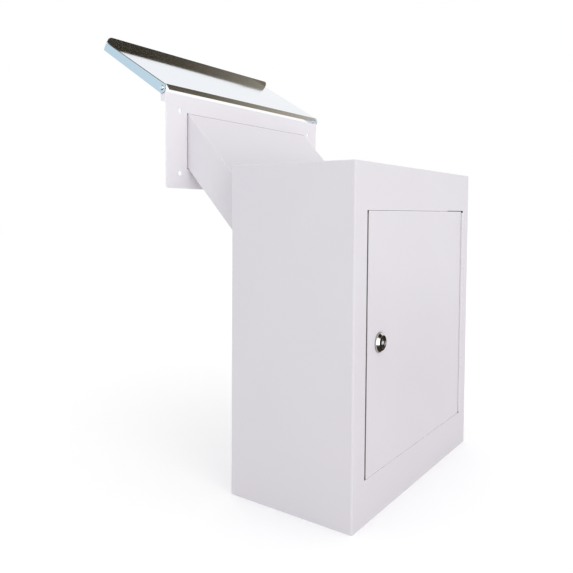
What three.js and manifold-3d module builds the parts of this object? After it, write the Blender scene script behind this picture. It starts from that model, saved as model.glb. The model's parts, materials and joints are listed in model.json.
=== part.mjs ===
// Through-the-wall book drop box: a powder-coated steel cabinet with a locking door, a sloping
// chute that leaves through the cabinet's back, a wall plate at the chute's mouth, and a
// stainless lid over the mouth.
//
// Millimetres, +Z up. The origin is the middle of the cabinet's underside. The door faces -Y,
// its hinge is on the +X side, and the wall plate and the lid are on the +Y side.

import * as THREE from 'three';
import { mergeVertices } from 'three/addons/utils/BufferGeometryUtils.js';
import Module from 'manifold-3d';

const wasm = await Module();
wasm.setup();

// ---------------------------------------------------------------- driving dimensions

const CABINET = { width: 344, depth: 168, height: 400 };
const SHEET = 1.5;             // cabinet and door sheet
const BEND_RADIUS = 2.5;       // outside radius of the cabinet's front bends
const PANEL_FLANGE = 12;       // depth of the top and bottom pans
const GAP = 0.3;               // between pieces that touch

const FRONT = -CABINET.depth / 2;
const BACK = CABINET.depth / 2;
const SIDE = CABINET.width / 2;

const DOOR = { left: -142, right: 141, bottom: 51, top: 347, depth: 12 };
const APERTURE = { left: -145.2, right: 148.5, bottom: 50.6, top: 347.4 };
const TOP_RELIEF = { from: 88, rise: 0.6 };   // the aperture is taller near the hinge
const STOP = { depth: 12.5, lip: 10, flange: 12 };

const HINGE = { x: 144.75, knuckles: 22, pitch: 13.3, barrel: 3.2, bore: 1.6, pin: 1.3 };
const LEAF = { thickness: 1, depth: 10.5, rivetInset: 7 };
const HINGE_RIVETS = [76, 158, 240, 322];
const RIVET = { radius: 1.4, hole: 1.7, headRadius: 2.6, head: 0.9, sides: 12 };

const LOCK = { x: -113, z: 198.5 };
const LOCK_HEAD = { radius: 11.2, rimRadius: 8.6, height: 4.5, rim: 2.6 };
const LOCK_BODY = { radius: 8, flat: 14.2, length: 14.9, bore: 6.3 };
const LOCK_NUT = { acrossFlats: 22, thickness: 4 };
const LOCK_PLUG = { radius: 6, inset: 0.5, square: 7, tail: 3, screwHole: 2.3, screwDepth: 13 };
const KEYWAY = { width: 1.8, height: 8, depth: 6.3 };
const LOCK_CAM = { reach: 25, hubRadius: 9, tipRadius: 7, thickness: 2.4 };
const CAM_WASHER = { radius: 6, thickness: 0.8 };
const CAM_SCREW = { radius: 2, headRadius: 4, headHeight: 2.6, slot: 1.2, slotDepth: 1.2, length: 14 };

const CHUTE = { width: 275, height: 72.9, sheet: 1.2, mouthTop: 475.4, mouthY: 191.4, backTop: 363.4 };
const CHUTE_INSIDE = 45;       // how far the chute reaches into the cabinet
const CHUTE_FLANGE = { halfWidth: 147, bottom: 393, top: 485 };
const COLLAR = { length: 26, clearance: 0.5, flange: 14 };
const CHUTE_SCREW = { radius: 2, headRadius: 4.2, headHeight: 2.6, slot: 1, slotDepth: 1.2 };

const PLATE = { halfWidth: 177, bottom: 375, top: 498, cornerRadius: 4 };
const PLATE_OPENING = { halfWidth: 139.5, bottom: 401.4, top: 475.2 };
const PLATE_HOLES = { x: 152, low: 395, high: 477, radius: 3.25 };
const WALL_HOLES = { x: 130, low: 60, high: 250, radius: 4 };
const EAR = { outer: 178.2, bottom: 486, radius: 3.6, toe: 2.5 };

const LID_PIVOT = { y: 196.8, z: 503.2, raised: 31.1 };
const LID = { halfWidth: 179.7, length: 133, sheet: 1.2, near: -1.3, bendRadius: 1.2 };
const CHEEK = { radius: 6.8, farDepth: 4.4, toe: 2 };   // the round end is about the pivot
const LID_NEAR_FLANGE = { depth: 6.2, flare: 1.6, topHalfWidth: 176, bottomHalfWidth: 168.8 };
const LID_LIP = { height: 8.5, cornerRadius: 7.5 };
const LID_RIVET = { radius: 1.6, hole: 1.9, headRadius: 3.4, head: 1.2, tailRadius: 2.7, tail: 1 };

const MANY = 28;               // sides of a large round
const FEW = 16;                // sides of a small round
const HALF_GAP = GAP / 2;

const chuteHalf = CHUTE.width / 2;
const slope = (CHUTE.mouthTop - CHUTE.backTop) / (CHUTE.mouthY - BACK);
const chuteWallHeight = CHUTE.sheet * Math.hypot(1, slope);
const chuteTop = (y) => CHUTE.mouthTop - slope * (CHUTE.mouthY - y);
const chuteBottom = (y) => chuteTop(y) - CHUTE.height;

// The two ends of a stretch, lowest first.
const span = (a, b) => [Math.min(a, b), Math.max(a, b)];

// ---------------------------------------------------------------- solids

function solid(geometry) {
  const bare = geometry.clone();
  bare.deleteAttribute('normal');
  bare.deleteAttribute('uv');
  const merged = mergeVertices(bare, 1e-4);
  return new wasm.Manifold(new wasm.Mesh({
    numProp: 3,
    vertProperties: new Float32Array(merged.attributes.position.array),
    triVerts: new Uint32Array(merged.index.array),
  }));
}

function geometryOf(manifold) {
  const mesh = manifold.getMesh();
  const geometry = new THREE.BufferGeometry();
  geometry.setAttribute('position', new THREE.BufferAttribute(mesh.vertProperties, 3));
  geometry.setIndex(new THREE.BufferAttribute(mesh.triVerts, 1));
  geometry.computeVertexNormals();
  return geometry;
}

// A block between two limits along each axis.
function block([x0, x1], [y0, y1], [z0, z1]) {
  const box = new THREE.BoxGeometry(x1 - x0, y1 - y0, z1 - z0);
  return solid(box.translate((x0 + x1) / 2, (y0 + y1) / 2, (z0 + z1) / 2));
}

// Round bars along each axis, between two limits.
function barX(radius, [x0, x1], y, z, sides = FEW) {
  const bar = new THREE.CylinderGeometry(radius, radius, x1 - x0, sides).rotateZ(Math.PI / 2);
  return solid(bar.translate((x0 + x1) / 2, y, z));
}

function barY(radius, [y0, y1], x, z, sides = FEW) {
  const bar = new THREE.CylinderGeometry(radius, radius, y1 - y0, sides);
  return solid(bar.translate(x, (y0 + y1) / 2, z));
}

function barZ(radius, [z0, z1], x, y, sides = FEW) {
  const bar = new THREE.CylinderGeometry(radius, radius, z1 - z0, sides).rotateX(Math.PI / 2);
  return solid(bar.translate(x, y, (z0 + z1) / 2));
}

// An outline drawn in Y and Z, extruded along X.
function alongX(shape, [x0, x1]) {
  const body = new THREE.ExtrudeGeometry(shape, { depth: x1 - x0, bevelEnabled: false, curveSegments: 8 });
  const turn = new THREE.Matrix4().makeBasis(
    new THREE.Vector3(0, 1, 0), new THREE.Vector3(0, 0, 1), new THREE.Vector3(1, 0, 0));
  return solid(body.applyMatrix4(turn).translate(x0, 0, 0));
}

// An outline drawn in X and Z, extruded along Y.
function alongY(shape, [y0, y1]) {
  const body = new THREE.ExtrudeGeometry(shape, { depth: y1 - y0, bevelEnabled: false, curveSegments: 8 });
  return solid(body.rotateX(Math.PI / 2).translate(0, y1, 0));
}

function polygon(points) {
  return new THREE.Shape(points.map(([a, b]) => new THREE.Vector2(a, b)));
}

// A rectangle with its two lower, its two upper, or all four corners rounded.
function roundedRectangle([a0, a1], [b0, b1], lower, upper) {
  const shape = new THREE.Shape();
  shape.moveTo(a0 + lower, b0);
  shape.lineTo(a1 - lower, b0);
  if (lower > 0) shape.absarc(a1 - lower, b0 + lower, lower, -Math.PI / 2, 0);
  shape.lineTo(a1, b1 - upper);
  if (upper > 0) shape.absarc(a1 - upper, b1 - upper, upper, 0, Math.PI / 2);
  shape.lineTo(a0 + upper, b1);
  if (upper > 0) shape.absarc(a0 + upper, b1 - upper, upper, Math.PI / 2, Math.PI);
  shape.lineTo(a0, b0 + lower);
  if (lower > 0) shape.absarc(a0 + lower, b0 + lower, lower, Math.PI, Math.PI * 1.5);
  return shape;
}

// ---------------------------------------------------------------- finishes

const powderCoat = { color: 0xe6e4e6, roughness: 0.45, metalness: 0.0 };
const stainless = { color: 0xc6ccd0, roughness: 0.28, metalness: 1.0 };
const chrome = { color: 0xb4b2ae, roughness: 0.1, metalness: 1.0 };
const zinc = { color: 0xa9abab, roughness: 0.4, metalness: 1.0 };

function piece(name, body, finish) {
  const mesh = new THREE.Mesh(geometryOf(body), new THREE.MeshStandardMaterial(finish));
  mesh.name = name;
  return mesh;
}

// ---------------------------------------------------------------- cabinet

// The space that the door fills, between two depths.
function doorOpening(depths) {
  const { left, right, bottom, top } = APERTURE;
  return block([left, right], depths, [bottom, top])
    .add(block([TOP_RELIEF.from, right], depths, [top - 1, top + TOP_RELIEF.rise]));
}

// The front and both sides are one sheet, bent at the two front corners.
function cabinetWrapper() {
  const outline = new THREE.Shape();
  const inner = BEND_RADIUS - SHEET;
  outline.moveTo(-SIDE, BACK);
  outline.lineTo(-SIDE, FRONT + BEND_RADIUS);
  outline.absarc(-SIDE + BEND_RADIUS, FRONT + BEND_RADIUS, BEND_RADIUS, Math.PI, Math.PI * 1.5);
  outline.lineTo(SIDE - BEND_RADIUS, FRONT);
  outline.absarc(SIDE - BEND_RADIUS, FRONT + BEND_RADIUS, BEND_RADIUS, -Math.PI / 2, 0);
  outline.lineTo(SIDE, BACK);
  outline.lineTo(SIDE - SHEET, BACK);
  outline.lineTo(SIDE - SHEET, FRONT + BEND_RADIUS);
  outline.absarc(SIDE - BEND_RADIUS, FRONT + BEND_RADIUS, inner, 0, -Math.PI / 2, true);
  outline.lineTo(-SIDE + BEND_RADIUS, FRONT + SHEET);
  outline.absarc(-SIDE + BEND_RADIUS, FRONT + BEND_RADIUS, inner, -Math.PI / 2, -Math.PI, true);
  outline.lineTo(-SIDE + SHEET, BACK);
  const sheet = new THREE.ExtrudeGeometry(outline, {
    depth: CABINET.height, bevelEnabled: false, curveSegments: 6,
  });
  return solid(sheet).subtract(doorOpening([FRONT - 1, FRONT + SHEET + 1]));
}

// A shallow pan that closes the wrapper at its top or bottom, flush with its edges.
// Its rear flange is set forward by one sheet, to back the back panel.
function endPanel(face, direction) {
  const halfWidth = SIDE - SHEET - GAP;
  const front = FRONT + SHEET + GAP;
  const rear = BACK - SHEET - GAP;
  const inside = face + direction * SHEET;
  const edge = face + direction * PANEL_FLANGE;
  const pan = block([-halfWidth, halfWidth], [front, rear], span(face, edge));
  const hollow = block(
    [-halfWidth + SHEET, halfWidth - SHEET],
    [front + SHEET, rear - SHEET],
    span(inside, edge + direction));
  const rearLedge = block([-halfWidth, halfWidth], [rear - SHEET, BACK], span(face, inside));
  return pan.subtract(hollow).add(rearLedge);
}

// The sloping channel around the chute, with some clearance, between two depths.
function chuteChannel(clearance, [y0, y1]) {
  const grow = clearance * Math.hypot(1, slope);
  return alongX(polygon([
    [y0, chuteBottom(y0) - grow],
    [y1, chuteBottom(y1) - grow],
    [y1, chuteTop(y1) + grow],
    [y0, chuteTop(y0) + grow],
  ]), [-chuteHalf - clearance, chuteHalf + clearance]);
}

function backPanel() {
  const halfWidth = SIDE - SHEET - GAP;
  const foot = SHEET + GAP;
  let panel = block([-halfWidth, halfWidth], [BACK - SHEET, BACK], [foot, CABINET.height - foot]);
  panel = panel.subtract(chuteChannel(1, [BACK - SHEET - 2, BACK + 2]));
  for (const x of [-WALL_HOLES.x, WALL_HOLES.x]) {
    for (const z of [WALL_HOLES.low, WALL_HOLES.high]) {
      panel = panel.subtract(barY(WALL_HOLES.radius, [BACK - SHEET - 1, BACK + 1], x, z, MANY));
    }
  }
  return panel;
}

// A ring of sheet behind the aperture: a flange on the back of the front sheet, a web that
// lines the aperture, and a lip that the door closes against. The upper lip stops short of
// the hinge side.
function doorStopFrame() {
  const front = FRONT + SHEET + GAP;
  const lipFront = FRONT + STOP.depth;
  const lipBack = lipFront + SHEET;
  const { left, right, bottom, top } = APERTURE;
  const flange = block(
    [left - STOP.flange, right + STOP.flange],
    [front, front + SHEET],
    [bottom - STOP.flange, top + STOP.flange]);
  const web = block([left - SHEET, right + SHEET], [front, lipBack], [bottom - SHEET, top + SHEET]);
  const throughLip = block(
    [left + STOP.lip, right - STOP.lip], [front - 1, lipBack + 1], [bottom + STOP.lip, top - STOP.lip]);
  const lipRelief = block(
    [TOP_RELIEF.from, right - STOP.lip], [lipFront - 1, lipBack + 1], [top - STOP.lip - 1, top]);
  return flange.add(web)
    .subtract(doorOpening([front - 1, lipFront]))
    .subtract(throughLip)
    .subtract(lipRelief);
}

const collarRear = BACK - SHEET - GAP;
const collarWall = chuteHalf + COLLAR.clearance + SHEET;
const chuteScrewY = collarRear - COLLAR.length / 2;
const chuteScrewZ = chuteTop(chuteScrewY) - CHUTE.height / 2;

// A sleeve inside the back panel that the chute slides in, with a flange on the panel.
function chuteCollar() {
  const rear = collarRear;
  const front = rear - COLLAR.length;
  const outside = chuteChannel(COLLAR.clearance + SHEET, [front, rear]);
  const flange = block(
    [-chuteHalf - COLLAR.flange, chuteHalf + COLLAR.flange],
    [rear - SHEET, rear],
    [chuteBottom(rear) - COLLAR.flange, chuteTop(rear) + COLLAR.flange]);
  const sleeve = outside.add(flange).subtract(chuteChannel(COLLAR.clearance, [front - 1, rear + 1]));
  const screwHole = (side) => barX(
    CHUTE_SCREW.radius + GAP, span(side * chuteHalf, side * (collarWall + 1)), chuteScrewY, chuteScrewZ);
  return sleeve.subtract(screwHole(-1)).subtract(screwHole(1));
}

// A slotted screw that fixes the chute from one side once its length is set.
function chuteScrew(side) {
  const { radius, headRadius, headHeight, slot, slotDepth } = CHUTE_SCREW;
  const seat = collarWall + GAP;
  const crown = seat + headHeight;
  const reach = (from, to) => span(side * from, side * to);
  const shank = barX(radius, reach(chuteHalf + GAP, seat + 1), chuteScrewY, chuteScrewZ);
  const head = barX(headRadius, reach(seat, crown), chuteScrewY, chuteScrewZ, MANY);
  const groove = block(
    reach(crown - slotDepth, crown + 1),
    [chuteScrewY - slot / 2, chuteScrewY + slot / 2],
    [chuteScrewZ - headRadius - 1, chuteScrewZ + headRadius + 1]);
  return shank.add(head).subtract(groove);
}

// ---------------------------------------------------------------- hinge

const hingeLength = HINGE.knuckles * HINGE.pitch;
const hingeBottom = (DOOR.bottom + DOOR.top - hingeLength) / 2;

// One leaf of the continuous hinge. side is +1 for the frame and -1 for the door; the two
// leaves take turns along the barrel.
function hingeLeaf(side) {
  const outer = HINGE.x + side * HINGE.barrel;
  const inner = outer - side * LEAF.thickness;
  const ends = [hingeBottom, hingeBottom + hingeLength];
  let leaf = block(span(inner, outer), [FRONT, FRONT + LEAF.depth], ends);
  const ownFirst = side > 0 ? 0 : 1;
  for (let index = 0; index < HINGE.knuckles; index += 1) {
    const low = hingeBottom + index * HINGE.pitch;
    const high = low + HINGE.pitch;
    const own = index % 2 === ownFirst;
    leaf = own
      ? leaf.add(barZ(HINGE.barrel, [low + HALF_GAP, high - HALF_GAP], HINGE.x, FRONT))
      : leaf.subtract(barZ(HINGE.barrel + GAP, [low - HALF_GAP, high + HALF_GAP], HINGE.x, FRONT));
  }
  leaf = leaf.subtract(barZ(HINGE.bore, [hingeBottom - 1, hingeBottom + hingeLength + 1], HINGE.x, FRONT));
  for (const z of HINGE_RIVETS) {
    leaf = leaf.subtract(barX(RIVET.hole, [outer - 2, outer + 2], FRONT + LEAF.rivetInset, z));
  }
  return leaf;
}

// A blind rivet along X through a hinge leaf and the sheet beside it.
function hingeRivet(side, z) {
  const leafFace = HINGE.x + side * (HINGE.barrel - LEAF.thickness - HALF_GAP);
  const sheetFace = side > 0 ? APERTURE.right + SHEET + HALF_GAP : DOOR.right - SHEET - HALF_GAP;
  const y = FRONT + LEAF.rivetInset;
  const shank = barX(RIVET.radius, span(leafFace, sheetFace), y, z, RIVET.sides);
  const head = barX(RIVET.headRadius, span(leafFace, leafFace - side * RIVET.head), y, z, RIVET.sides);
  const tail = barX(RIVET.headRadius, span(sheetFace, sheetFace + side * RIVET.head), y, z, RIVET.sides);
  return shank.add(head).add(tail);
}

function hingePin() {
  return barZ(HINGE.pin, [hingeBottom, hingeBottom + hingeLength], HINGE.x, FRONT);
}

// Holes for the hinge rivets in the door's return or in the stop frame's web.
function withRivetHoles(body, [x0, x1]) {
  return HINGE_RIVETS.reduce(
    (rest, z) => rest.subtract(barX(RIVET.hole, [x0, x1], FRONT + LEAF.rivetInset, z)), body);
}

// ---------------------------------------------------------------- door

// A pan of sheet, open towards the inside of the cabinet, with a hole for the lock.
function doorPanel() {
  const { left, right, bottom, top, depth } = DOOR;
  const pan = block([left, right], [FRONT, FRONT + depth], [bottom, top]);
  const hollow = block(
    [left + SHEET, right - SHEET], [FRONT + SHEET, FRONT + depth + 1], [bottom + SHEET, top - SHEET]);
  const lockHole = barY(LOCK_BODY.radius + GAP, [FRONT - 1, FRONT + SHEET + 1], LOCK.x, LOCK.z, MANY);
  return withRivetHoles(pan.subtract(hollow).subtract(lockHole), [right - SHEET - 1, right + 1]);
}

// ---------------------------------------------------------------- lock
// Drawn about the lock's axis, with Y = 0 at the door's outer face.

function lathe(points, sides) {
  return solid(new THREE.LatheGeometry(points.map(([r, y]) => new THREE.Vector2(r, y)), sides));
}

// A double-D threaded body under a round bevelled head.
function lockHousing() {
  const { radius, rimRadius, height, rim } = LOCK_HEAD;
  const head = lathe([
    [LOCK_BODY.bore, -GAP],
    [LOCK_BODY.bore, -height],
    [rimRadius, -height],
    [radius, -height + rim],
    [radius, -GAP],
    [LOCK_BODY.bore, -GAP],
  ], MANY);
  const half = LOCK_BODY.flat / 2;
  const reach = [-height / 2, LOCK_BODY.length];
  const body = barY(LOCK_BODY.radius, reach, 0, 0, MANY)
    .intersect(block([-half, half], reach, [-LOCK_BODY.radius, LOCK_BODY.radius]))
    .subtract(barY(LOCK_BODY.bore, [-height, LOCK_BODY.length + 1], 0, 0, MANY));
  return head.add(body);
}

function lockNut() {
  const cornerRadius = LOCK_NUT.acrossFlats / 2 / Math.cos(Math.PI / 6);
  const seat = SHEET + GAP;
  const end = seat + LOCK_NUT.thickness;
  return barY(cornerRadius, [seat, end], 0, 0, 6)
    .subtract(barY(LOCK_BODY.radius + GAP, [seat - 1, end + 1], 0, 0, MANY));
}

const plugFace = -LOCK_HEAD.height + LOCK_PLUG.inset;
const plugEnd = LOCK_BODY.length + GAP;
const plugTail = plugEnd + LOCK_PLUG.tail;
const camFront = plugEnd + GAP;
const camBack = camFront + LOCK_CAM.thickness;
const washerFront = plugTail + GAP;
const washerBack = washerFront + CAM_WASHER.thickness;

// The turning core: a keyway in its face, and a square tail for the cam.
function lockPlug() {
  const half = LOCK_PLUG.square / 2;
  const core = barY(LOCK_PLUG.radius, [plugFace, plugEnd], 0, 0, MANY);
  const tail = block([-half, half], [plugEnd - 1, plugTail], [-half, half]);
  const keyway = block(
    [-KEYWAY.width / 2, KEYWAY.width / 2],
    [plugFace - 1, plugFace + KEYWAY.depth],
    [-KEYWAY.height / 2, KEYWAY.height / 2]);
  const screwHole = barY(LOCK_PLUG.screwHole, [plugTail - LOCK_PLUG.screwDepth, plugTail + 1], 0, 0);
  return core.add(tail).subtract(keyway).subtract(screwHole);
}

// The blade points down when the door is free, and to the side when it is locked.
function lockCam() {
  const { reach, hubRadius, tipRadius } = LOCK_CAM;
  const lean = Math.asin((hubRadius - tipRadius) / reach);
  const blade = new THREE.Shape();
  blade.absarc(0, 0, hubRadius, -lean, Math.PI + lean);
  blade.absarc(0, -reach, tipRadius, Math.PI + lean, 2 * Math.PI - lean);
  const half = LOCK_PLUG.square / 2 + GAP;
  return alongY(blade, [camFront, camBack])
    .subtract(block([-half, half], [camFront - 1, camBack + 1], [-half, half]));
}

function camWasher() {
  return barY(CAM_WASHER.radius, [washerFront, washerBack], 0, 0, MANY)
    .subtract(barY(LOCK_PLUG.screwHole, [washerFront - 1, washerBack + 1], 0, 0));
}

function camScrew() {
  const { radius, headRadius, headHeight, slot, slotDepth, length } = CAM_SCREW;
  const seat = washerBack + GAP;
  const crown = seat + headHeight;
  const groove = block(
    [-slot / 2, slot / 2], [crown - slotDepth, crown + 1], [-headRadius - 1, headRadius + 1]);
  return barY(headRadius, [seat, crown], 0, 0, MANY)
    .subtract(groove)
    .add(barY(radius, [seat - length, seat + 1], 0, 0));
}

// ---------------------------------------------------------------- chute

// A rectangular duct that slopes up from the cabinet and levels out through the wall plate,
// where a flange lies on the plate's far side.
function chuteDuct() {
  const low = BACK - CHUTE_INSIDE;
  const level = CHUTE.mouthY - 0.5;
  const plateFar = CHUTE.mouthY + SHEET + GAP;
  const end = plateFar + CHUTE.sheet;
  const wall = chuteWallHeight;
  const outer = alongX(polygon([
    [low, chuteBottom(low)], [level, chuteBottom(level)], [end, chuteBottom(level)],
    [end, chuteTop(level)], [level, chuteTop(level)], [low, chuteTop(low)],
  ]), [-chuteHalf, chuteHalf]);
  const flange = block(
    [-CHUTE_FLANGE.halfWidth, CHUTE_FLANGE.halfWidth],
    [plateFar, end],
    [CHUTE_FLANGE.bottom, CHUTE_FLANGE.top]);
  const before = low - 1;
  const inner = alongX(polygon([
    [before, chuteBottom(before) + wall], [level, chuteBottom(level) + wall],
    [end + 1, chuteBottom(level) + wall], [end + 1, chuteTop(level) - wall],
    [level, chuteTop(level) - wall], [before, chuteTop(before) - wall],
  ]), [-chuteHalf + CHUTE.sheet, chuteHalf - CHUTE.sheet]);
  return outer.add(flange).subtract(inner);
}

// A flat plate around the mouth, with a fixing hole near each corner and two ears, bent
// away from the cabinet at the upper corners, that carry the lid.
function wallPlate() {
  const near = CHUTE.mouthY;
  const far = near + SHEET;
  let plate = alongY(
    roundedRectangle(
      [-PLATE.halfWidth, PLATE.halfWidth], [PLATE.bottom, PLATE.top], PLATE.cornerRadius, 0),
    [near, far]);
  const { y, z } = LID_PIVOT;
  const toPlate = Math.atan2(PLATE.top - z, near - y);
  const distance = Math.hypot(PLATE.top - z, near - y);
  const tangent = toPlate + 2 * Math.PI - Math.acos(EAR.radius / distance);
  for (const side of [-1, 1]) {
    const ear = new THREE.Shape();
    ear.moveTo(near, EAR.bottom);
    ear.lineTo(y + EAR.radius - EAR.toe, EAR.bottom);
    ear.absarc(y + EAR.radius - EAR.toe, EAR.bottom + EAR.toe, EAR.toe, -Math.PI / 2, 0);
    ear.absarc(y, z, EAR.radius, 0, tangent);
    ear.lineTo(near, PLATE.top);
    const edges = span(side * (EAR.outer - SHEET), side * EAR.outer);
    const bridge = span(side * (PLATE.halfWidth - 1), side * EAR.outer);
    plate = plate
      .add(block(bridge, [near, far], [EAR.bottom, PLATE.top]))
      .add(alongX(ear, edges))
      .subtract(barX(LID_RIVET.hole, [edges[0] - 1, edges[1] + 1], y, z));
    for (const height of [PLATE_HOLES.low, PLATE_HOLES.high]) {
      plate = plate.subtract(
        barY(PLATE_HOLES.radius, [near - 1, far + 1], side * PLATE_HOLES.x, height, MANY));
    }
  }
  const { halfWidth, bottom, top } = PLATE_OPENING;
  return plate.subtract(block([-halfWidth, halfWidth], [near - 1, far + 1], [bottom, top]));
}

// ---------------------------------------------------------------- lid
// Drawn about the pivot: Y runs from the pivot to the free edge, and Z out of the outer face.

function lidPanel() {
  const { halfWidth, length, sheet, near } = LID;
  const far = near + length;
  const face = CHEEK.radius;
  const roof = block([-halfWidth, halfWidth], [near, far], [face - sheet, face]);
  const cheek = new THREE.Shape();
  cheek.moveTo(0, -CHEEK.radius);
  cheek.lineTo(far - CHEEK.toe, -CHEEK.farDepth);
  cheek.absarc(far - CHEEK.toe, CHEEK.toe - CHEEK.farDepth, CHEEK.toe, -Math.PI / 2, 0);
  cheek.lineTo(far, face);
  cheek.absarc(0, 0, CHEEK.radius, Math.PI / 2, Math.PI * 1.5);
  let folded = roof;
  for (const side of [-1, 1]) {
    folded = folded.add(alongX(cheek, span(side * (halfWidth - sheet), side * halfWidth)));
  }
  const envelope = alongY(
    roundedRectangle([-halfWidth, halfWidth], [-2 * face, face], 0, LID.bendRadius), [-2 * face, far]);
  const lip = alongY(
    roundedRectangle([-halfWidth, halfWidth], [face - sheet, face + LID_LIP.height], 0, LID_LIP.cornerRadius),
    [far - sheet, far]);
  return folded.intersect(envelope)
    .add(lidNearFlange(face))
    .add(lip)
    .subtract(barX(LID_RIVET.hole, [-halfWidth - 1, halfWidth + 1], 0, 0));
}

// The near edge's flange leans towards the cabinet, and its ends slope in to clear the ears.
function lidNearFlange(face) {
  const { depth, flare, topHalfWidth, bottomHalfWidth } = LID_NEAR_FLANGE;
  const { near, sheet } = LID;
  const bottom = face - depth;
  const section = polygon([
    [near, face], [near - flare, bottom], [near - flare + sheet, bottom], [near + sheet, face],
  ]);
  const ends = polygon([
    [-bottomHalfWidth, bottom], [bottomHalfWidth, bottom], [topHalfWidth, face], [-topHalfWidth, face],
  ]);
  return alongX(section, [-topHalfWidth, topHalfWidth])
    .intersect(alongY(ends, [near - flare - 1, near + sheet + 1]));
}

// A shouldered rivet through one cheek and the ear inside it.
function lidRivet(side) {
  const { radius, headRadius, head, tailRadius, tail } = LID_RIVET;
  const outside = LID.halfWidth + HALF_GAP;
  const inside = EAR.outer - SHEET - HALF_GAP;
  const reach = (from, to) => span(side * from, side * to);
  return barX(radius, reach(inside, outside), 0, 0)
    .add(barX(headRadius, reach(outside, outside + head), 0, 0, MANY))
    .add(barX(tailRadius, reach(inside - tail, inside), 0, 0));
}

// ---------------------------------------------------------------- assembly

const cabinet = new THREE.Group();
cabinet.add(
  piece('cabinet_wrapper', cabinetWrapper(), powderCoat),
  piece('top_panel', endPanel(CABINET.height, -1), powderCoat),
  piece('bottom_panel', endPanel(0, 1), powderCoat),
  piece('back_panel', backPanel(), powderCoat),
  piece('door_stop_frame',
    withRivetHoles(doorStopFrame(), [APERTURE.right - 1, APERTURE.right + SHEET + 1]), powderCoat),
  piece('chute_collar', chuteCollar(), powderCoat),
  piece('chute_screw_left', chuteScrew(-1), zinc),
  piece('chute_screw_right', chuteScrew(1), zinc),
  piece('hinge_leaf_frame', hingeLeaf(1), powderCoat),
  piece('hinge_pin', hingePin(), zinc),
);

const door = new THREE.Group();
door.add(
  piece('door_panel', doorPanel(), powderCoat),
  piece('hinge_leaf_door', hingeLeaf(-1), powderCoat),
);

HINGE_RIVETS.forEach((z, index) => {
  cabinet.add(piece(`frame_rivet_${index + 1}`, hingeRivet(1, z), zinc));
  door.add(piece(`door_rivet_${index + 1}`, hingeRivet(-1, z), zinc));
});

const lock = new THREE.Group();
lock.position.set(LOCK.x, FRONT, LOCK.z);
lock.add(
  piece('lock_housing', lockHousing(), chrome),
  piece('lock_nut', lockNut(), zinc),
  piece('lock_plug', lockPlug(), chrome),
  piece('lock_cam', lockCam(), zinc),
  piece('cam_washer', camWasher(), zinc),
  piece('cam_screw', camScrew(), zinc),
);
door.add(lock);

const chute = new THREE.Group();
chute.add(
  piece('chute_duct', chuteDuct(), powderCoat),
  piece('wall_plate', wallPlate(), powderCoat),
);

const lid = new THREE.Group();
lid.position.set(0, LID_PIVOT.y, LID_PIVOT.z);
lid.rotation.x = THREE.MathUtils.degToRad(LID_PIVOT.raised);
lid.add(
  piece('lid_panel', lidPanel(), stainless),
  piece('lid_rivet_left', lidRivet(-1), stainless),
  piece('lid_rivet_right', lidRivet(1), stainless),
);
chute.add(lid);

const dropBox = new THREE.Group();
dropBox.add(cabinet, door, chute);

export default dropBox;
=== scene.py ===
"""The looks of a through-the-wall book drop box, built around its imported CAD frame."""

import json
import math

import bmesh
import bpy
from mathutils import Matrix, Vector


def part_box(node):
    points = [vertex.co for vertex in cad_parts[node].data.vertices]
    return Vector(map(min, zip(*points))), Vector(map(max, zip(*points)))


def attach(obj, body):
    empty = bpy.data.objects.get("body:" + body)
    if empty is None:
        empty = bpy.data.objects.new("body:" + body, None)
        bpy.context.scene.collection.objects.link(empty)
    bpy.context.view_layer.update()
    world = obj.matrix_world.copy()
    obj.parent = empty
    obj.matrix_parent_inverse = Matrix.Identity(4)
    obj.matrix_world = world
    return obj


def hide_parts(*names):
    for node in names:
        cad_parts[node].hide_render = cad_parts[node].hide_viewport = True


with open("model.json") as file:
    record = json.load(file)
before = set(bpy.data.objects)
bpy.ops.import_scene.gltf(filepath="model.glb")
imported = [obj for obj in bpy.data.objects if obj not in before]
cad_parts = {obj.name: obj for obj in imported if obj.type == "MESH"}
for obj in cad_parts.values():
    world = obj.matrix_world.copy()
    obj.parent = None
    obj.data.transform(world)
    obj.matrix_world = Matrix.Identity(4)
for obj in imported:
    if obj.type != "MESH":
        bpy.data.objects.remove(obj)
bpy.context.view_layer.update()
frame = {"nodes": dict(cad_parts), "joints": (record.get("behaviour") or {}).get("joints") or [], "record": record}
nodes = frame["nodes"]
slot_of = {part["node"]: part["material_slot"] for part in frame["record"]["subparts"]}

MM = 0.001
WHITE = (1, 1, 1)
LOCK = Vector(next(joint["pos_m"] for joint in frame["joints"] if joint["name"] == "lock_turn"))


# ---------------------------------------------------------------- node helpers


def principled(name):
    material = bpy.data.materials.new(name)
    material.use_nodes = True
    return material, material.node_tree, material.node_tree.nodes["Principled BSDF"]


def put_color(tree, socket, color):
    """Links a colour that a node makes, or sets a plain one."""
    if hasattr(color, "is_output"):
        tree.links.new(color, socket)
    else:
        socket.default_value = (*color, 1)


def noise(tree, scale, detail=2.0, stretch=(1, 1, 1), roughness=0.5):
    """Noise in metres on the object's own coordinates; scale is features per metre."""
    place = tree.nodes.new("ShaderNodeTexCoord")
    mapping = tree.nodes.new("ShaderNodeMapping")
    mapping.inputs["Scale"].default_value = stretch
    texture = tree.nodes.new("ShaderNodeTexNoise")
    texture.inputs["Scale"].default_value = scale
    texture.inputs["Detail"].default_value = detail
    texture.inputs["Roughness"].default_value = roughness
    tree.links.new(place.outputs["Object"], mapping.inputs["Vector"])
    tree.links.new(mapping.outputs["Vector"], texture.inputs["Vector"])
    return texture.outputs["Fac"]


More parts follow.
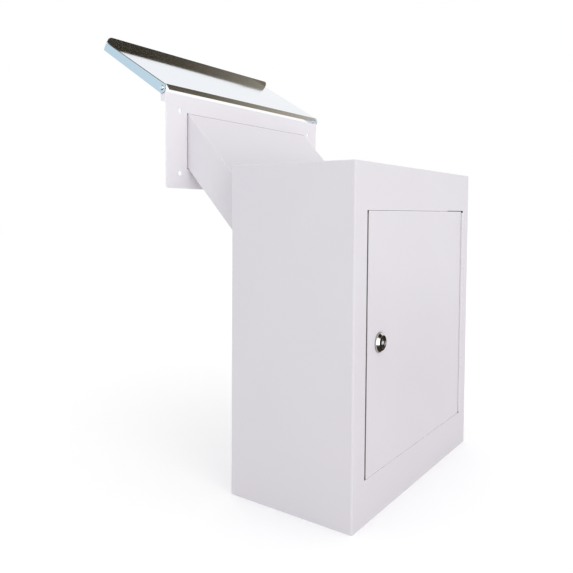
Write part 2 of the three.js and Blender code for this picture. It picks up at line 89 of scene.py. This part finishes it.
def to_range(tree, value, low, high, start=0.0, end=1.0):
    """low where the value is at start or before it, and high where it is at end or past it."""
    node = tree.nodes.new("ShaderNodeMapRange")
    node.inputs["From Min"].default_value = start
    node.inputs["From Max"].default_value = end
    node.inputs["To Min"].default_value = low
    node.inputs["To Max"].default_value = high
    tree.links.new(value, node.inputs["Value"])
    return node.outputs["Result"]


def multiply(tree, first, second):
    node = tree.nodes.new("ShaderNodeMath")
    node.operation = "MULTIPLY"
    tree.links.new(first, node.inputs[0])
    tree.links.new(second, node.inputs[1])
    return node.outputs["Value"]


def blend_colors(tree, factor, first, second):
    """The first colour where the factor is 0, and the second where it is 1."""
    node = tree.nodes.new("ShaderNodeMix")
    node.data_type = "RGBA"
    tree.links.new(factor, node.inputs["Factor"])
    put_color(tree, node.inputs[6], first)
    put_color(tree, node.inputs[7], second)
    return node.outputs[2]


def multiply_colors(tree, first, second):
    node = tree.nodes.new("ShaderNodeMix")
    node.data_type = "RGBA"
    node.blend_type = "MULTIPLY"
    node.inputs["Factor"].default_value = 1.0
    put_color(tree, node.inputs[6], first)
    put_color(tree, node.inputs[7], second)
    return node.outputs[2]


def color_ramp(tree, value, stops):
    ramp = tree.nodes.new("ShaderNodeValToRGB")
    tree.links.new(value, ramp.inputs["Fac"])
    elements = ramp.color_ramp.elements
    for index, (place, color) in enumerate(stops):
        element = elements[index] if index < 2 else elements.new(place)
        element.position = place
        element.color = (*color, 1)
    return ramp.outputs["Color"]


def position(tree, axis):
    """The object's own X, Y or Z coordinate in metres."""
    split = tree.nodes.new("ShaderNodeSeparateXYZ")
    place = tree.nodes.new("ShaderNodeTexCoord")
    tree.links.new(place.outputs["Object"], split.inputs["Vector"])
    return split.outputs[axis]


def distance(tree, point):
    """How far the surface is from a point in the object's own coordinates, in metres."""
    node = tree.nodes.new("ShaderNodeVectorMath")
    node.operation = "DISTANCE"
    place = tree.nodes.new("ShaderNodeTexCoord")
    tree.links.new(place.outputs["Object"], node.inputs[0])
    node.inputs[1].default_value = point
    return node.outputs["Value"]


def facing(tree, direction, toward):
    """How nearly a direction points toward another, from -1 to 1."""
    node = tree.nodes.new("ShaderNodeVectorMath")
    node.operation = "DOT_PRODUCT"
    node.inputs[1].default_value = Vector(toward).normalized()
    tree.links.new(direction, node.inputs[0])
    return node.outputs["Value"]


def bump(tree, shader, heights):
    """Stacks (height, distance in metres, strength) bumps into the shader's normal."""
    previous = None
    for height, depth, strength in heights:
        node = tree.nodes.new("ShaderNodeBump")
        node.inputs["Distance"].default_value = depth
        node.inputs["Strength"].default_value = strength
        tree.links.new(height, node.inputs["Height"])
        if previous is not None:
            tree.links.new(previous, node.inputs["Normal"])
        previous = node.outputs["Normal"]
    tree.links.new(previous, shader.inputs["Normal"])


# ---------------------------------------------------------------- camera, floor and flag

CAMERA_PLACE = (-0.7395, -0.4003, 0.3449)
CAMERA_YAW = math.radians(-54.54)
CAMERA_PITCH = math.radians(-2.42)
CAMERA_ROLL = math.radians(0.40)
LENS = 38.92
SENSOR = 36.0
SHIFT = -0.0845

FLOOR_RADIUS = 9.0
FLOOR_GLOW = 0.05

FLAG_DIRECTION = Vector((0.875, -0.44, -0.205))
FLAG_DISTANCE = 0.42
FLAG_SIZE = 0.19


def make_camera():
    """Stands to the door's left, a little below the cabinet's top, and looks slightly down."""
    data = bpy.data.cameras.new("camera")
    data.sensor_width = SENSOR
    data.lens = LENS
    data.shift_y = SHIFT
    data.clip_start = 0.01
    camera = bpy.data.objects.new("camera", data)
    bpy.context.scene.collection.objects.link(camera)
    turn = (
        Matrix.Rotation(CAMERA_YAW, 4, "Z")
        @ Matrix.Rotation(math.pi / 2 + CAMERA_PITCH, 4, "X")
        @ Matrix.Rotation(CAMERA_ROLL, 4, "Z")
    )
    camera.matrix_world = Matrix.Translation(CAMERA_PLACE) @ turn
    bpy.context.scene.camera = camera


def make_floor():
    """A white disc that glows faintly, so that it meets the room with no visible line."""
    bpy.ops.mesh.primitive_circle_add(vertices=96, radius=FLOOR_RADIUS, fill_type="NGON")
    floor = bpy.context.active_object
    floor.name = "floor"
    material, tree, shader = principled("floor")
    shader.inputs["Base Color"].default_value = (0.995, 0.995, 0.995, 1)
    shader.inputs["Roughness"].default_value = 1.0
    shader.inputs["Specular IOR Level"].default_value = 0.0
    shader.inputs["Emission Color"].default_value = (*WHITE, 1)
    shader.inputs["Emission Strength"].default_value = FLOOR_GLOW
    floor.data.materials.append(material)
    floor.visible_glossy = False


def make_flag():
    """A black studio flag that the lock's face reflects. It is seen only in reflections."""
    place = LOCK + FLAG_DISTANCE * FLAG_DIRECTION
    bpy.ops.mesh.primitive_plane_add(size=FLAG_SIZE, location=place)
    flag = bpy.context.active_object
    flag.name = "flag"
    flag.rotation_euler = FLAG_DIRECTION.to_track_quat("Z", "Y").to_euler()
    material, tree, shader = principled("flag")
    shader.inputs["Base Color"].default_value = (0.02, 0.015, 0.01, 1)
    shader.inputs["Roughness"].default_value = 1.0
    flag.data.materials.append(material)
    flag.visible_camera = False
    flag.visible_diffuse = False
    flag.visible_shadow = False


# ---------------------------------------------------------------- room and lights

DIM_SIDE = (-0.85, 0.15, -0.5)
DARK_CORNER = (0.52, -0.80, -0.28)
DARK_BEAM = (0.36, -0.60, 0.70)
BLUE_END = (-0.60, 0.76, 0.26)


def background(tree, color):
    node = tree.nodes.new("ShaderNodeBackground")
    put_color(tree, node.inputs["Color"], color)
    return node.outputs["Background"]


def choose(tree, factor, first, second):
    mix = tree.nodes.new("ShaderNodeMixShader")
    tree.links.new(factor, mix.inputs["Fac"])
    tree.links.new(first, mix.inputs[1])
    tree.links.new(second, mix.inputs[2])
    return mix.outputs["Shader"]


def mirrored_studio(tree, direction):
    """What metal reflects: white walls, a dark floor, ceiling, corner and beam, and a blue end."""
    height = to_range(tree, facing(tree, direction, (0, 0, 1)), 0.0, 1.0, -1.0, 1.0)
    walls = color_ramp(tree, height, [
        (0.00, (0.05, 0.04, 0.03)),
        (0.22, (0.06, 0.05, 0.035)),
        (0.31, (0.35, 0.31, 0.26)),
        (0.42, (0.85, 0.86, 0.88)),
        (0.50, (0.97, 0.98, 1.00)),
        (0.83, (0.97, 0.98, 1.00)),
        (0.87, (0.30, 0.28, 0.25)),
        (0.90, (0.05, 0.04, 0.03)),
    ])
    corner = color_ramp(tree, facing(tree, direction, DARK_CORNER), [
        (0.86, WHITE),
        (0.915, (0.60, 0.52, 0.42)),
        (0.94, (0.42, 0.38, 0.30)),
        (0.97, (0.15, 0.12, 0.08)),
        (0.99, (0.045, 0.035, 0.018)),
    ])
    beam = color_ramp(tree, facing(tree, direction, DARK_BEAM), [
        (0.86, WHITE),
        (0.93, (0.10, 0.08, 0.05)),
        (0.97, (0.04, 0.03, 0.02)),
    ])
    blue_end = color_ramp(tree, facing(tree, direction, BLUE_END), [
        (0.83, WHITE),
        (0.91, (0.62, 0.78, 0.86)),
    ])
    shade = multiply_colors(tree, walls, corner)
    shade = multiply_colors(tree, shade, beam)
    return multiply_colors(tree, shade, blue_end)


def make_world():
    """A plain white room, a little dimmer low down on the left, with its own reflections."""
    world = bpy.data.worlds.new("studio")
    bpy.context.scene.world = world
    world.use_nodes = True
    tree = world.node_tree
    tree.nodes.clear()
    direction = tree.nodes.new("ShaderNodeTexCoord").outputs["Generated"]
    fill = color_ramp(tree, facing(tree, direction, DIM_SIDE), [
        (0.20, WHITE),
        (0.95, (0.88, 0.89, 0.94)),
    ])
    path = tree.nodes.new("ShaderNodeLightPath").outputs
    mirrored = background(tree, mirrored_studio(tree, direction))
    light = choose(tree, path["Is Glossy Ray"], background(tree, fill), mirrored)
    seen = choose(tree, path["Is Camera Ray"], light, background(tree, WHITE))
    out = tree.nodes.new("ShaderNodeOutputWorld")
    tree.links.new(seen, out.inputs["Surface"])


def area_light(name, location, target, size, power):
    data = bpy.data.lights.new(name, "AREA")
    data.shape = "RECTANGLE"
    data.size, data.size_y = size
    data.energy = power
    light = bpy.data.objects.new(name, data)
    light.location = location
    light.rotation_euler = (Vector(target) - Vector(location)).to_track_quat("-Z", "Y").to_euler()
    bpy.context.scene.collection.objects.link(light)
    return light


def make_lights():
    """A broad key light on the door, and a tall strip that only the front's left edge reflects."""
    area_light("key", (-0.9, -2.3, 0.8), (0, 0, 0.25), (1.6, 1.6), 11.5)
    front_edge = (-0.17, -0.08, 0.25)
    strip = area_light("edge_strip", (-1.15, -1.85, 0.35), front_edge, (0.3, 1.5), 14)
    strip.visible_diffuse = False


make_camera()
make_floor()
make_flag()
make_world()
make_lights()
bpy.context.scene.view_settings.view_transform = "Standard"


# ---------------------------------------------------------------- powder coat

SEAM_SHADE = (0.03, 0.025, 0.015)
SEAM_DEEP, SEAM_OPEN = 0.52, 0.72
FOOT_LOW, FOOT_HIGH = 3 * MM, 8 * MM
# Painted highlight: the near-white that edges and bends are painted, for the light they catch.
PAINTED_EDGE_HIGHLIGHT = (0.95, 0.95, 0.97)
PAINTED_EDGE_HIGHLIGHT_RADIUS = 1.5 * MM
COAT_SPREAD = 0.03


def crevice(tree, depth):
    """0 in the open and 1 deep in a seam, measured over a short distance. The foot has no seam."""
    node = tree.nodes.new("ShaderNodeAmbientOcclusion")
    node.samples = 8
    node.inputs["Distance"].default_value = depth
    seam = to_range(tree, node.outputs["AO"], 1.0, 0.0, SEAM_DEEP, SEAM_OPEN)
    above_foot = to_range(tree, position(tree, "Z"), 0.0, 1.0, FOOT_LOW, FOOT_HIGH)
    return multiply(tree, seam, above_foot)


def edge_highlight_mask(tree, radius):
    """0 on flat faces and 1 on outer edges, where a near-white highlight is painted."""
    rounded = tree.nodes.new("ShaderNodeBevel")
    rounded.samples = 6
    rounded.inputs["Radius"].default_value = radius
    true = tree.nodes.new("ShaderNodeNewGeometry")
    match = tree.nodes.new("ShaderNodeVectorMath")
    match.operation = "DOT_PRODUCT"
    tree.links.new(rounded.outputs["Normal"], match.inputs[0])
    tree.links.new(true.outputs["Normal"], match.inputs[1])
    return to_range(tree, match.outputs["Value"], 1.0, 0.0, 0.75, 0.98)


def coat_color(value):
    """A white with a little violet in it."""
    return (value, value - 0.025, value + 0.012)


def powder_coat(name, value, seam, painted_light_toward=None):
    """White polyester powder on steel: a fine orange peel, a painted highlight on the edges, painted light toward
    one end along Y when asked, and shade in the seams.
    """
    material, tree, shader = principled(name)
    tint = blend_colors(tree, noise(tree, 9, 3), coat_color(value), coat_color(value + COAT_SPREAD))
    # Painted light: the colour gets lighter toward one end along Y, for light bounced onto it.
    if painted_light_toward:
        start, end, light_lift = painted_light_toward
        painted_light = to_range(tree, position(tree, "Y"), 0.0, 1.0, start, end)
        tint = blend_colors(tree, painted_light, tint, coat_color(value + light_lift + COAT_SPREAD))
    # Painted highlight: the edges and bends are painted near-white.
    color = blend_colors(tree, edge_highlight_mask(tree, PAINTED_EDGE_HIGHLIGHT_RADIUS), tint, PAINTED_EDGE_HIGHLIGHT)
    color = blend_colors(tree, crevice(tree, seam), color, SEAM_SHADE)
    tree.links.new(color, shader.inputs["Base Color"])
    rough = to_range(tree, noise(tree, 160, 3), 0.38, 0.5)
    tree.links.new(rough, shader.inputs["Roughness"])
    shader.inputs["Specular IOR Level"].default_value = 0.4
    bump(tree, shader, [
        (noise(tree, 620, 2), 0.06 * MM, 0.5),
        (noise(tree, 1900, 1), 0.02 * MM, 0.4),
    ])
    return material


# ---------------------------------------------------------------- metals

CHROME_CLOUD = (220, 3)
CHROME_COLORS = ((0.66, 0.64, 0.60), (0.74, 0.72, 0.68))
CHROME_MARKS = (1400, 3)
CHROME_RELIEF = (0.01 * MM, 0.2)
POLISHING_GRAIN = (60, 4, (0.03, 30, 30), 0.65)
PLUG_FACE = LOCK + Vector((0, -4 * MM, 0))
# Painted highlight on the lock plug: its size and near-white colour.
PLUG_HIGHLIGHT_RADIUS = 2.6 * MM
PLUG_HIGHLIGHT_COLOR = (0.97, 0.97, 0.97)


def metal(name, cloud, colors, wear, roughness, marks, relief):
    """A metal whose colour, roughness and surface each follow a noise of their own."""
    material, tree, shader = principled(name)
    shader.inputs["Metallic"].default_value = 1.0
    tree.links.new(blend_colors(tree, noise(tree, *cloud), *colors), shader.inputs["Base Color"])
    tree.links.new(to_range(tree, noise(tree, *wear), *roughness), shader.inputs["Roughness"])
    bump(tree, shader, [(noise(tree, *marks), *relief)])
    return material


def stainless():
    """Bright stainless sheet with its polishing grain along X."""
    colors = ((0.80, 0.83, 0.86), (0.88, 0.89, 0.91))
    relief = (0.02 * MM, 0.15)
    return metal("stainless", (14, 2), colors, POLISHING_GRAIN, (0.07, 0.15), POLISHING_GRAIN, relief)


def chrome():
    """Nickel-chrome plate with light handling marks."""
    roughness = (0.06, 0.16)
    return metal("chrome", CHROME_CLOUD, CHROME_COLORS, (900, 4), roughness, CHROME_MARKS, CHROME_RELIEF)


def zinc():
    """Bright zinc plate: cool, slightly mottled, and duller than chrome."""
    colors = ((0.50, 0.52, 0.54), (0.68, 0.68, 0.66))
    return metal("zinc", (300, 4), colors, (700, 3), (0.25, 0.45), (2200, 2), (0.02 * MM, 0.3))


def rivet_metal():
    """Drawn aluminium rivets with a fine matt skin."""
    colors = ((0.60, 0.60, 0.61), (0.74, 0.74, 0.74))
    return metal("rivet", (500, 3), colors, (1500, 3), (0.3, 0.5), (2600, 2), (0.02 * MM, 0.3))


def plug_chrome_with_painted_highlight():
    """The plug's chrome, with a painted highlight round the keyway: a bright, matt, mostly non-metal spot."""
    material, tree, shader = principled("plug_chrome_with_painted_highlight")
    # Painted highlight: a near-white matt spot round the keyway stands for a reflection.
    painted_spot = to_range(tree, distance(tree, PLUG_FACE), 1.0, 0.0, 0.8 * PLUG_HIGHLIGHT_RADIUS, PLUG_HIGHLIGHT_RADIUS)
    plate = blend_colors(tree, noise(tree, *CHROME_CLOUD), *CHROME_COLORS)
    tree.links.new(blend_colors(tree, painted_spot, plate, PLUG_HIGHLIGHT_COLOR), shader.inputs["Base Color"])
    tree.links.new(to_range(tree, painted_spot, 0.12, 0.6), shader.inputs["Roughness"])
    tree.links.new(to_range(tree, painted_spot, 1.0, 0.2), shader.inputs["Metallic"])
    bump(tree, shader, [(noise(tree, *CHROME_MARKS), *CHROME_RELIEF)])
    return material


# ---------------------------------------------------------------- CAD pieces

MATERIALS = {
    "powder_coat": powder_coat("powder_coat", 0.645, 5 * MM),
    "stainless": stainless(),
    "chrome": chrome(),
    "zinc": zinc(),
    "rivet": rivet_metal(),
}

# The wall plate has the cabinet's white powder, painted lighter for the light that falls on it more than on the
# cabinet.
PLATE_COAT_PAINTED_LIGHTER = powder_coat("plate_coat_painted_light", 0.77, 2 * MM)
# The chute's coat has painted light: lighter toward the wall plate, for light the plate bounces onto it.
CHUTE_COAT = powder_coat("chute_coat", 0.635, 2 * MM, (95 * MM, 190 * MM, 0.10))
HINGE_COAT = powder_coat("hinge_coat", 0.66, 0.5 * MM)
OWN_FINISH = {
    "wall_plate": PLATE_COAT_PAINTED_LIGHTER, "chute_duct": CHUTE_COAT,
    "hinge_leaf_frame": HINGE_COAT, "hinge_leaf_door": HINGE_COAT,
    "lock_plug": plug_chrome_with_painted_highlight(),
}

SHEET_EDGE = {
    "cabinet_wrapper": 0.4, "top_panel": 0.5, "bottom_panel": 0.5, "back_panel": 0.4,
    "door_panel": 0.4, "wall_plate": 0.5, "chute_duct": 0.5, "lid_panel": 0.45,
}
SMALL_EDGE = 0.2
FLAT_LIMIT = math.radians(0.5)
SHARP_EDGE = math.radians(28)


def dress(obj, material, edge_width):
    """Gives a CAD piece its finish, softens its edges and shades its bends smoothly."""
    obj.data.materials.clear()
    obj.data.materials.append(material)
    with bpy.context.temp_override(object=obj, active_object=obj, selected_objects=[obj]):
        bpy.ops.mesh.customdata_custom_splitnormals_clear()
    weld = obj.modifiers.new("weld", "WELD")
    weld.merge_threshold = 0.001 * MM
    merge = obj.modifiers.new("planar", "DECIMATE")
    merge.decimate_type = "DISSOLVE"
    merge.angle_limit = FLAT_LIMIT
    bevel = obj.modifiers.new("edges", "BEVEL")
    bevel.width = edge_width
    bevel.segments = 3
    bevel.limit_method = "ANGLE"
    bevel.angle_limit = SHARP_EDGE
    bevel.harden_normals = True
    bevel.use_clamp_overlap = True
    for polygon in obj.data.polygons:
        polygon.use_smooth = True


for name, obj in nodes.items():
    finish = OWN_FINISH.get(name, MATERIALS[slot_of[name]])
    dress(obj, finish, SHEET_EDGE.get(name, SMALL_EDGE) * MM)


# ---------------------------------------------------------------- rivets
# Domed blind rivets stand for the plain solids along X that hold the hinge and the lid.

LEFT, RIGHT = -1, 1
LID_RIVET = {"head": 1.2 * MM, "tail": 1.0 * MM, "tail_radius": 2.7 * MM}
HINGE_RIVET = {"head": 0.9 * MM, "tail": 0.9 * MM, "tail_radius": 2.6 * MM}
HINGE_RIVETS = 4
TAIL_SHAPE = ((0, 0.15), (0.35, 0.15), (0.45, 0), (0.85, 0), (1, 0.3), (1, 1))
SHANK_SHARE = 0.5
RIM_SHARE = 0.2
DIMPLE_RIM, DIMPLE_FLOOR, DIMPLE_DEPTH = 0.22, 0.18, 0.25
DOME_STEPS = 8
SIDES = 40
DOME_CREASE = math.radians(40)


def rivet_profile(radius, length, head, tail, tail_radius):
    """Radius and distance from the tail's end: a rolled tail, a shank and a dimpled dome."""
    seat = length - head
    rim = RIM_SHARE * head
    dimple = length - DIMPLE_DEPTH * head
    profile = [(across * tail_radius, along * tail) for across, along in TAIL_SHAPE]
    profile += [(SHANK_SHARE * radius, tail), (SHANK_SHARE * radius, seat)]
    profile += [(radius, seat), (radius, seat + rim)]
    for step in range(1, DOME_STEPS):
        angle = math.pi / 2 * step / DOME_STEPS
        profile.append((radius * math.cos(angle), seat + rim + (head - rim) * math.sin(angle)))
    profile += [(DIMPLE_RIM * radius, length), (DIMPLE_FLOOR * radius, dimple), (0, dimple)]
    return profile


def ring(body, center, radius):
    """Points round an X-wise axis, or the one point on it where the radius is 0."""
    if radius == 0:
        return [body.verts.new(center)]
    turns = [2 * math.pi * side / SIDES for side in range(SIDES)]
    spokes = [Vector((0, math.cos(turn), math.sin(turn))) for turn in turns]
    return [body.verts.new(center + spoke * radius) for spoke in spokes]


def turned(name, profile, start, direction):
    """A solid of revolution about an X-wise axis from start, running along direction."""
    mesh = bpy.data.meshes.new(name)
    body = bmesh.new()
    rings = [ring(body, start + direction * along, radius) for radius, along in profile]
    for near, far in zip(rings, rings[1:]):
        for side in range(SIDES):
            after = (side + 1) % SIDES
            if len(near) == 1:
                body.faces.new((near[0], far[side], far[after]))
            elif len(far) == 1:
                body.faces.new((near[after], near[side], far[0]))
            else:
                body.faces.new((near[side], far[side], far[after], near[after]))
    bmesh.ops.recalc_face_normals(body, faces=body.faces)
    for face in body.faces:
        face.smooth = True
    body.to_mesh(mesh)
    body.free()
    mesh.set_sharp_from_angle(angle=DOME_CREASE)
    piece = bpy.data.objects.new(name, mesh)
    bpy.context.scene.collection.objects.link(piece)
    return piece


def make_rivet(node, body, outward, head, tail, tail_radius):
    """Builds a rivet where a CAD node is. outward is the way along X that its head faces."""
    low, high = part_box(node)
    radius = (high.z - low.z) / 2
    center = (low + high) / 2
    start = Vector((low.x if outward == RIGHT else high.x, center.y, center.z))
    profile = rivet_profile(radius, high.x - low.x, head, tail, min(tail_radius, radius))
    piece = turned(f"{node}_domed", profile, start, Vector((outward, 0, 0)))
    slot = slot_of[node]
    piece.data.materials.append(MATERIALS[slot])
    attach(piece, body)
    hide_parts(node)


make_rivet("lid_rivet_left", "lid", LEFT, **LID_RIVET)
make_rivet("lid_rivet_right", "lid", RIGHT, **LID_RIVET)
for number in range(1, HINGE_RIVETS + 1):
    make_rivet(f"frame_rivet_{number}", "cabinet", LEFT, **HINGE_RIVET)
    make_rivet(f"door_rivet_{number}", "door", RIGHT, **HINGE_RIVET)
